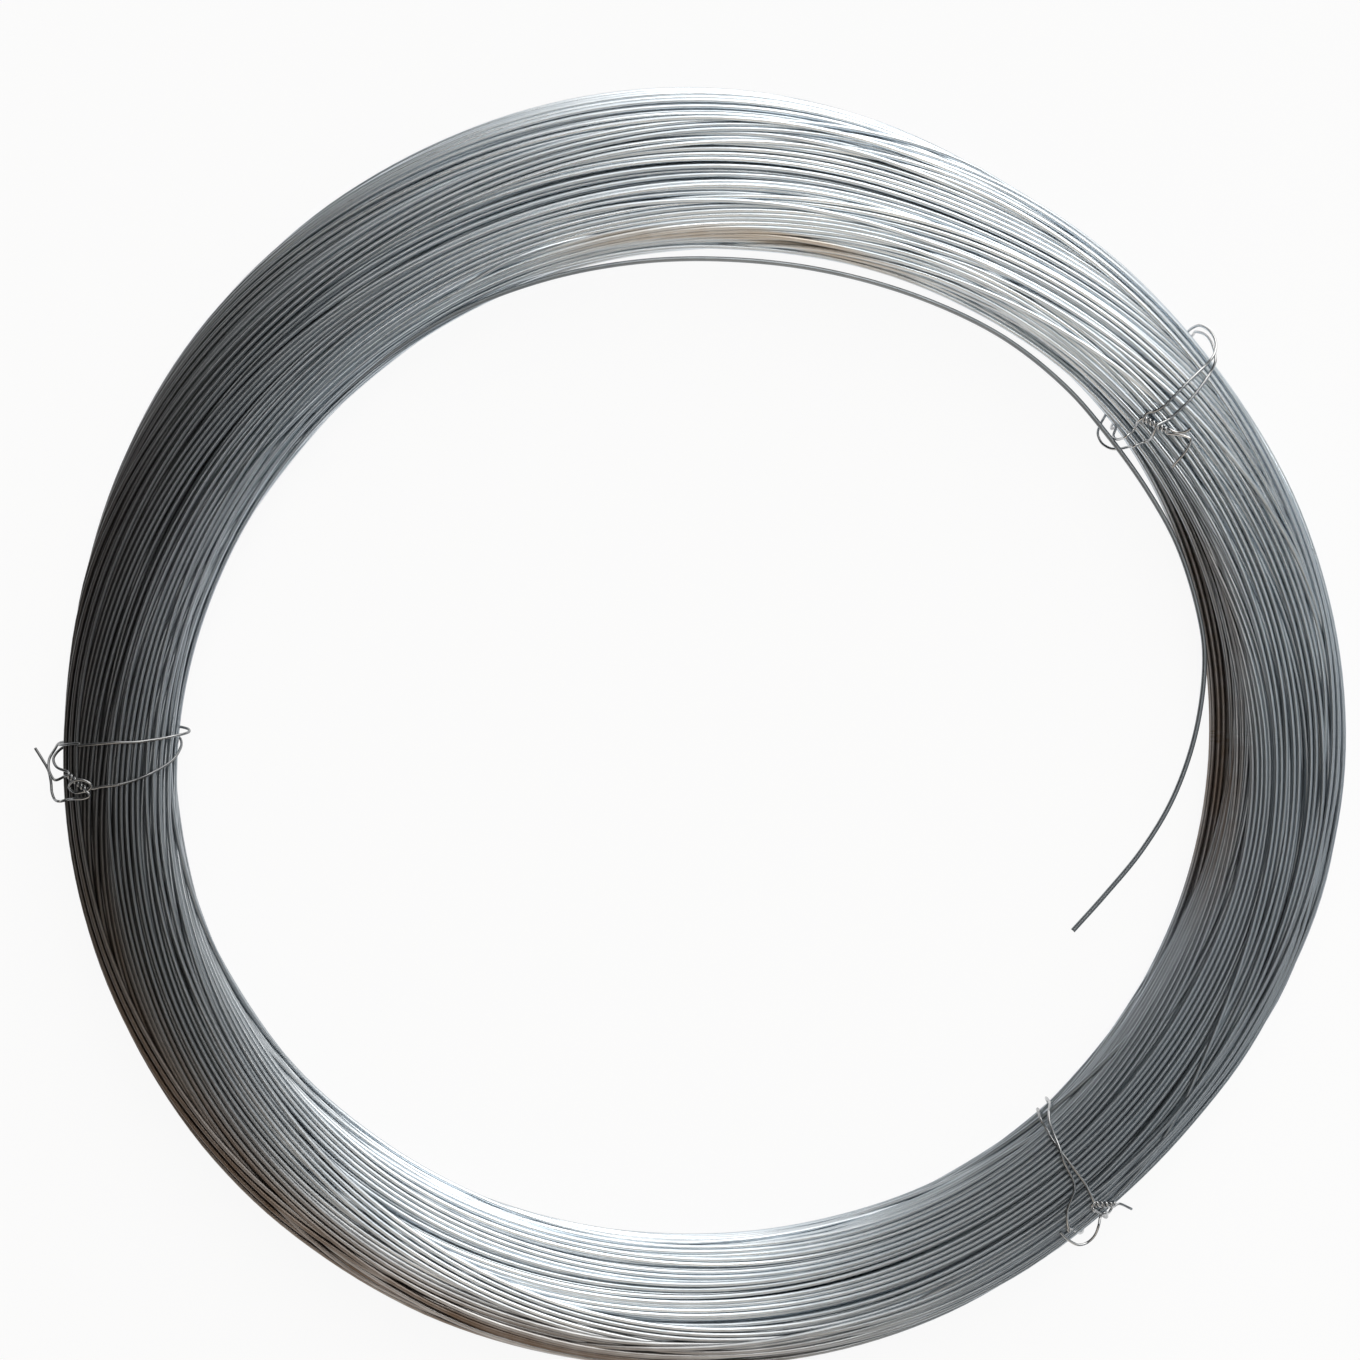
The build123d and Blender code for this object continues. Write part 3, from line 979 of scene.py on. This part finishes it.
def lay_turns(name):
    """One chain of turns of the coil, in pieces of no more than TURNS_IN_PIECE turns."""
    sizes = bpy.context.scene.wire_coil_sizes
    coil = laid_coil()
    turns = coil.chain(name)
    sides = sizes.buried_sides if name in BURIED else sizes.sides
    for start in range(0, len(turns), TURNS_IN_PIECE):
        part = turns[start:start + TURNS_IN_PIECE]
        following = turns[(start + len(part)) % len(turns)]
        label = f"{name}_{start // TURNS_IN_PIECE + 1}" if len(turns) > TURNS_IN_PIECE else name
        route = coil.route(part, following)
        piece = draw_wires(label, [route], sizes.wire_diameter, sides, galvanised_wire())
        put_in_place(piece, COIL_NODE)


def length(name, description, default):
    """A length in metres."""
    return FloatProperty(name=name, description=description, default=default, unit="LENGTH")


def share_of_one(name, description, default):
    """A number from 0 to 1."""
    return FloatProperty(
        name=name, description=description, default=default, subtype="FACTOR", min=0, max=1
    )


def colour(name, description, default):
    """A tone of the metal, or of painted shade on it."""
    return FloatVectorProperty(
        name=name, description=description, default=default, subtype="COLOR", min=0, max=1
    )


class WireCoilSizes(bpy.types.PropertyGroup):
    """The sizes of the coil and its wires."""

    wire_diameter: length("Wire diameter", "Thickness of the coiled wire", 0.0025)
    tie_diameter: length("Tie diameter", "Thickness of the tie wires", 0.0014)
    bundle_width: length("Bundle width", "Mean width of the bundle", 0.065)
    bundle_height: length("Bundle height", "Height of the layers where the bundle is as wide as that", 0.0395)
    rounds: IntProperty(name="Settling rounds", description="Rounds in which the turns settle", default=60)
    seed: IntProperty(name="Seed", description="Picks how the turns wander", default=5)
    sides: IntProperty(name="Sides", description="Sides of a wire's section", default=8)
    buried_sides: IntProperty(name="Buried sides", description="Sides of a hidden wire's section", default=6)


class WireCoilColours(bpy.types.PropertyGroup):
    """The tones of the metal, and the painted shade and reflections on it."""

    zinc_light: colour("Light zinc", "Bright parts of the zinc coat", (0.83, 0.885, 0.93))
    zinc_dark: colour("Dark zinc", "Dull parts of the zinc coat", (0.63, 0.70, 0.76))
    # Painted shade: an even grey that stands for the shade on the right of the coil.
    painted_shade_right: colour("Painted shade on the right", "Even grey painted shade on the right of the coil", (0.35, 0.385, 0.415))
    # Painted reflection and shade in brown, on the outer side at the lower left and on the bore side at the
    # right.
    patch_tone: colour("Brown painted reflection", "Brown painted reflection and shade on the outer and bore sides", (0.17, 0.12, 0.085))
    # A pale warm band along the bore side at the top.
    warm_bore_band: colour("Warm bore band", "Pale warm band along the bore side at the top", (0.62, 0.55, 0.47))
    # Painted shade, near black, on the left of the coil.
    painted_shade_left: colour("Painted shade on the left", "Dark painted shade on the left of the coil", (0.085, 0.08, 0.077))
    tie_light: colour("Light tie wire", "Bright parts of the tie wires", (0.74, 0.75, 0.76))
    tie_dark: colour("Dark tie wire", "Dull parts of the tie wires", (0.12, 0.125, 0.13))
    roughness: share_of_one("Roughness", "How dull the coiled wire is", 0.27)
    tie_roughness: share_of_one("Tie roughness", "How dull the tie wires are", 0.22)


class WireCoilStudio(bpy.types.PropertyGroup):
    """The camera, the lamps and the floor."""

    camera_height: length("Camera height", "Height above the framed plane", 2.2)
    frame_width: length("Frame width", "What the picture spans", 0.68)
    framed_plane: length("Framed plane", "Height at which the span is measured", 0.022)
    light_level: FloatProperty(
        name="Soft lights", description="Brightness of the tall soft lights, 1 being white", default=1.75,
    )
    side_power: FloatProperty(
        name="Side lamp", description="Power of the lamp on the right", subtype="POWER", default=1.2,
    )
    whiteness: share_of_one("Floor whiteness", "How far the floor shows plain white", 0.92)


class WIRE_COIL_OT_stage(bpy.types.Operator):
    """Makes the camera, the side lamp, the surroundings and the floor"""

    bl_idname = "wire_coil.stage"
    bl_label = "Make the stage"

    def execute(self, context):
        studio = context.scene.wire_coil_studio
        scene = context.scene
        scene.view_settings.view_transform = "Standard"
        camera = plain_object("camera", bpy.data.cameras.new("camera"))
        camera.data.lens = camera.data.sensor_width * studio.camera_height / studio.frame_width
        camera.location = (*FRAME_MIDDLE, studio.camera_height + studio.framed_plane)
        scene.camera = camera
        lamp("side_lamp", SIDE_LAMP_PLACE, SIDE_LAMP_SIZE, studio.side_power, SIDE_LAMP_TONE)
        scene.world = surroundings(studio.light_level)
        mesh = bpy.data.meshes.new("floor")
        half = FLOOR_SPAN / 2
        corners = [(-half, -half, 0), (half, -half, 0), (half, half, 0), (-half, half, 0)]
        mesh.from_pydata(corners, [], [(0, 1, 2, 3)])
        floor = plain_object("floor", mesh)
        mesh.materials.append(floor_paint(studio.whiteness))
        return {"FINISHED"}


def lamp(name, location, size, power, tone):
    """A flat lamp that faces the middle of the coil."""
    data = bpy.data.lights.new(name, "AREA")
    data.shape = "RECTANGLE"
    data.size, data.size_y = size
    data.energy = power
    data.color = tone
    made = plain_object(name, data)
    made.location = location
    made.rotation_euler = (-Vector(location)).to_track_quat("-Z", "Y").to_euler()
    made.visible_camera = False


def surroundings(level):
    """A dim room, lighter on the right, with a tall soft light behind the coil and one in front of it."""
    world = bpy.data.worlds.new("Room")
    world.use_nodes = True
    build = NodeBuilder(world.node_tree)
    direction = build.add("ShaderNodeTexCoord").outputs["Generated"]
    towards = Vector(ROOM_LIGHT_SIDE).normalized()
    facing = build.vector("DOT_PRODUCT", direction, tuple(towards))
    light = build.mix(build.ramp(facing, ROOM_LIGHT_BEGIN, ROOM_LIGHT_WHOLE), ROOM_DARK, ROOM_LIGHT)
    bearing = build.vector("NORMALIZE", build.vector("MULTIPLY", direction, (1, 1, 0)))
    core_tone = [part * CORE_GAIN for part in BACK_LIGHT_TONE]
    soft_lights = (
        (SOFT_LIGHT_AZIMUTH, SOFT_LIGHT_END, SOFT_LIGHT_WHOLE, BACK_LIGHT_TONE),
        (SOFT_LIGHT_AZIMUTH + 180, SOFT_LIGHT_END, SOFT_LIGHT_WHOLE, FRONT_LIGHT_TONE),
        (CORE_AZIMUTH, CORE_END, CORE_WHOLE, core_tone),
    )
    for azimuth, end, whole, tone in soft_lights:
        turn = math.radians(azimuth)
        near = build.vector("DOT_PRODUCT", bearing, (math.cos(turn), math.sin(turn), 0))
        light = build.mix(build.ramp(near, end, whole), light, (*[part * level for part in tone], 1))
    build.feed(world.node_tree.nodes["Background"].inputs["Color"], light)
    return world


def floor_paint(whiteness):
    """A pale floor, which shows itself as plain white but for a share of its light and shade."""
    material = bpy.data.materials.new("Floor")
    material.use_nodes = True
    tree = material.node_tree
    build = NodeBuilder(tree)
    shader = tree.nodes["Principled BSDF"]
    shader.inputs["Base Color"].default_value = FLOOR_TONE
    shader.inputs["Roughness"].default_value = FLOOR_ROUGHNESS
    shader.inputs["Specular IOR Level"].default_value = 0.0
    glow = build.add("ShaderNodeEmission", Color=(1, 1, 1, 1), Strength=1.0)
    rays = build.add("ShaderNodeLightPath").outputs
    seen = build.math("MAXIMUM", rays["Is Camera Ray"], rays["Is Glossy Ray"])
    seen = build.math("MAXIMUM", seen, rays["Is Transmission Ray"])
    mixed = tree.nodes.new("ShaderNodeMixShader")
    build.feed(mixed.inputs[0], build.math("MULTIPLY", seen, whiteness))
    build.feed(mixed.inputs[1], shader.outputs["BSDF"])
    build.feed(mixed.inputs[2], glow.outputs["Emission"])
    build.feed(tree.nodes["Material Output"].inputs["Surface"], mixed.outputs[0])
    return material


class WIRE_COIL_OT_layers(bpy.types.Operator):
    """Lays the layers of turns that make up the bundle"""

    bl_idname = "wire_coil.layers"
    bl_label = "Lay the layers of turns"

    def execute(self, context):
        for name in LAYERS:
            lay_turns(name)
        return {"FINISHED"}


class WIRE_COIL_OT_hanks(bpy.types.Operator):
    """Lays the hanks of turns that cross over the bundle"""

    bl_idname = "wire_coil.hanks"
    bl_label = "Lay the crossing hanks"

    def execute(self, context):
        for name in HANKS:
            lay_turns(name)
        return {"FINISHED"}


class WIRE_COIL_OT_bore_turns(bpy.types.Operator):
    """Lays the hank at the foot of the bore side and the slack turn beside it"""

    bl_idname = "wire_coil.bore_turns"
    bl_label = "Lay the turns of the bore side"

    def execute(self, context):
        for name in ("foot_hank", "slack_turn"):
            lay_turns(name)
        return {"FINISHED"}


class WIRE_COIL_OT_free_end(bpy.types.Operator):
    """Draws the free end that springs off the bundle into the bore"""

    bl_idname = "wire_coil.free_end"
    bl_label = "Draw the free end"

    def execute(self, context):
        sizes = context.scene.wire_coil_sizes
        angles = np.radians([row[0] for row in FREE_END])
        reach = np.array([row[1] for row in FREE_END])
        height = np.full(len(FREE_END), FREE_END_HEIGHT)
        flat = np.stack([reach * np.cos(angles), reach * np.sin(angles), height], axis=-1)
        line = smooth_line(flat, FREE_END_STEP) * MM
        sides = sizes.sides + FREE_END_MORE_SIDES
        routes = [(line, FREE_END_TINT)]
        piece = draw_wires("free_end", routes, sizes.wire_diameter, sides, free_end_metal())
        put_in_place(piece, COIL_NODE)
        return {"FINISHED"}


class WIRE_COIL_OT_ties(bpy.types.Operator):
    """Winds the three tie wires twice round the bundle and knots them"""

    bl_idname = "wire_coil.ties"
    bl_label = "Wind the ties"

    def execute(self, context):
        sizes = context.scene.wire_coil_sizes
        for name, spans in TIE_ROUTES.items():
            bed = TieBed(laid_coil(), TIE_ANGLES[name], sizes.wire_diameter / MM, sizes.tie_diameter / MM)
            # Each tie's tint paints light and shade on it: dark on the left, bright at the upper right.
            routes = [(bed.route(spans), TIE_PAINTED_LIGHT_AND_SHADE[name])]
            piece = draw_wires(name + "_wound", routes, sizes.tie_diameter, sizes.sides, tie_metal())
            put_in_place(piece, name)
        return {"FINISHED"}


STEPS = ("stage", "layers", "hanks", "bore_turns", "free_end", "ties")


class WIRE_COIL_PT_panel(bpy.types.Panel):
    """The steps that make the coil, and its sizes and colours"""

    bl_label = "Wire coil"
    bl_idname = "WIRE_COIL_PT_panel"
    bl_space_type = "VIEW_3D"
    bl_region_type = "UI"
    bl_category = "Wire Coil"

    def draw(self, context):
        for step in STEPS:
            self.layout.operator("wire_coil." + step)
        for name in GROUPS:
            group = getattr(context.scene, name)
            box = self.layout.box()
            for label in group.__annotations__:
                box.prop(group, label)


GROUPS = {
    "wire_coil_sizes": WireCoilSizes,
    "wire_coil_colours": WireCoilColours,
    "wire_coil_studio": WireCoilStudio,
}
OPERATORS = (
    WIRE_COIL_OT_stage,
    WIRE_COIL_OT_layers,
    WIRE_COIL_OT_hanks,
    WIRE_COIL_OT_bore_turns,
    WIRE_COIL_OT_free_end,
    WIRE_COIL_OT_ties,
)


def register():
    for name, group in GROUPS.items():
        bpy.utils.register_class(group)
        setattr(bpy.types.Scene, name, PointerProperty(type=group))
    for kind in (*OPERATORS, WIRE_COIL_PT_panel):
        bpy.utils.register_class(kind)


def unregister():
    for kind in (WIRE_COIL_PT_panel, *reversed(OPERATORS)):
        bpy.utils.unregister_class(kind)
    for name, group in GROUPS.items():
        delattr(bpy.types.Scene, name)
        bpy.utils.unregister_class(group)


def main():
    register()
    for step in STEPS:
        getattr(bpy.ops.wire_coil, step)()


if __name__ == "__main__":
    main()
